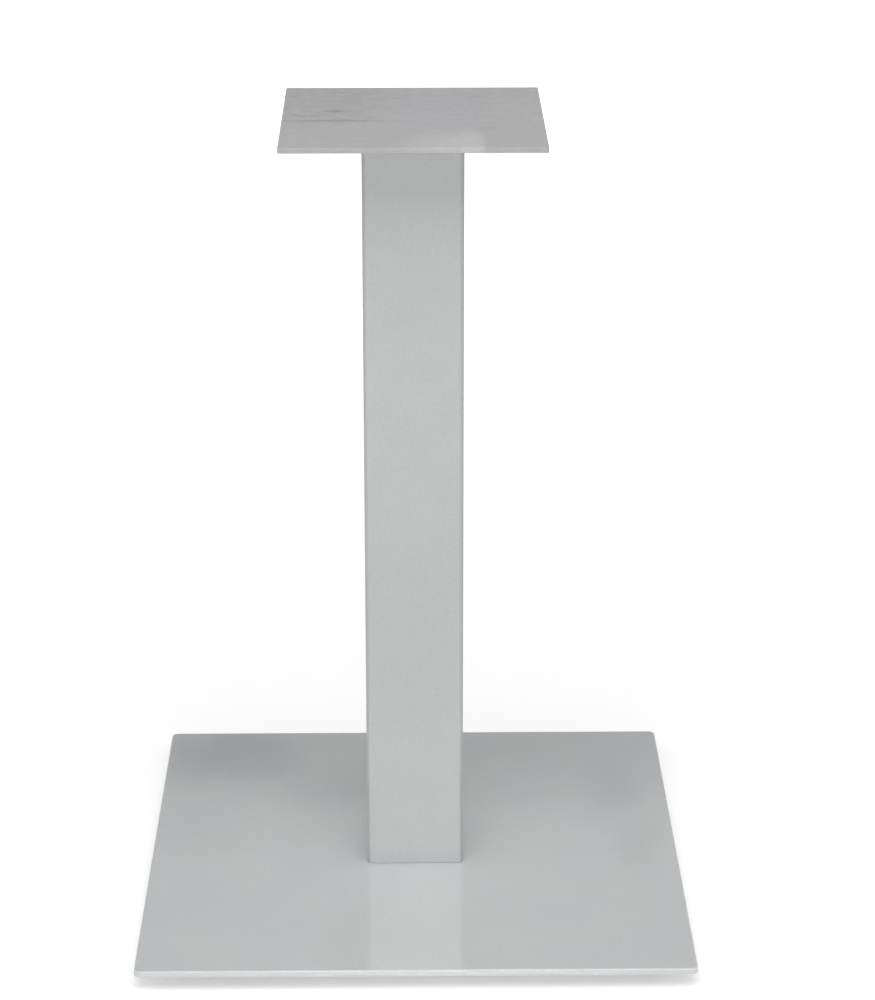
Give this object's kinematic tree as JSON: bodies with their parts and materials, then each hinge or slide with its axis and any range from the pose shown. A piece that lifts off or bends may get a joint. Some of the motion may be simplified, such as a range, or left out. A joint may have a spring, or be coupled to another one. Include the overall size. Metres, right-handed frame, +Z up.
{
  "type": "square table base",
  "caption": "Pedestal table base: flat square floor plate, square tube column and small square top plate, standing on screw glides.",
  "frame": {"origin": "on the floor, under the middle of the column", "axes": "+Z up along the column's axis, the front towards -Y, the plates' sides along X and Y"},
  "size_m": [0.5, 0.5, 0.73],
  "materials": {
    "coated_plate": "satin powder coat, light silver grey",
    "coated_tube": "satin powder coat, light silver grey",
    "coated_top": "satin powder coat, neutral silver grey",
    "zinc_screw": "bright zinc plating",
    "black_pad": "moulded, matt"
  },
  "bodies": {
    "pedestal": {"base_plate": "coated_plate", "column_tube": "coated_tube", "column_flange": "coated_plate", "top_plate": "coated_top", "flange_screw_1": "zinc_screw", "flange_screw_2": "zinc_screw", "flange_screw_3": "zinc_screw", "flange_screw_4": "zinc_screw", "glide_nut_1": "coated_plate", "glide_nut_2": "coated_plate", "glide_nut_3": "coated_plate", "glide_nut_4": "coated_plate"},
    "pad_1": {"glide_pad_1": "black_pad"},
    "pad_2": {"glide_pad_2": "black_pad"},
    "pad_3": {"glide_pad_3": "black_pad"},
    "pad_4": {"glide_pad_4": "black_pad"},
    "stud_1": {"glide_stud_1": "zinc_screw"},
    "stud_2": {"glide_stud_2": "zinc_screw"},
    "stud_3": {"glide_stud_3": "zinc_screw"},
    "stud_4": {"glide_stud_4": "zinc_screw"}
  },
  "joints": [
    {"name": "glide_1_travel", "type": "slide", "parent": "pedestal", "child": "pad_1", "axis": [0, 0, -1], "range_m": [0, 0.003]},
    {"name": "glide_2_travel", "type": "slide", "parent": "pedestal", "child": "pad_2", "axis": [0, 0, -1], "range_m": [0, 0.003]},
    {"name": "glide_3_travel", "type": "slide", "parent": "pedestal", "child": "pad_3", "axis": [0, 0, -1], "range_m": [0, 0.003]},
    {"name": "glide_4_travel", "type": "slide", "parent": "pedestal", "child": "pad_4", "axis": [0, 0, -1], "range_m": [0, 0.003]},
    {"name": "glide_1_turn", "type": "hinge", "parent": "pad_1", "child": "stud_1", "pos_m": [-0.205, -0.205, 0.005], "axis": [0, 0, -1], "range_deg": [0, 864]},
    {"name": "glide_2_turn", "type": "hinge", "parent": "pad_2", "child": "stud_2", "pos_m": [0.205, -0.205, 0.005], "axis": [0, 0, -1], "range_deg": [0, 864]},
    {"name": "glide_3_turn", "type": "hinge", "parent": "pad_3", "child": "stud_3", "pos_m": [0.205, 0.205, 0.005], "axis": [0, 0, -1], "range_deg": [0, 864]},
    {"name": "glide_4_turn", "type": "hinge", "parent": "pad_4", "child": "stud_4", "pos_m": [-0.205, 0.205, 0.005], "axis": [0, 0, -1], "range_deg": [0, 864]}
  ],
  "couplings": [
    {"joint": "glide_1_travel", "follows": "glide_1_turn", "m_per_rad": 0.00019894},
    {"joint": "glide_2_travel", "follows": "glide_2_turn", "m_per_rad": 0.00019894},
    {"joint": "glide_3_travel", "follows": "glide_3_turn", "m_per_rad": 0.00019894},
    {"joint": "glide_4_travel", "follows": "glide_4_turn", "m_per_rad": 0.00019894}
  ]
}
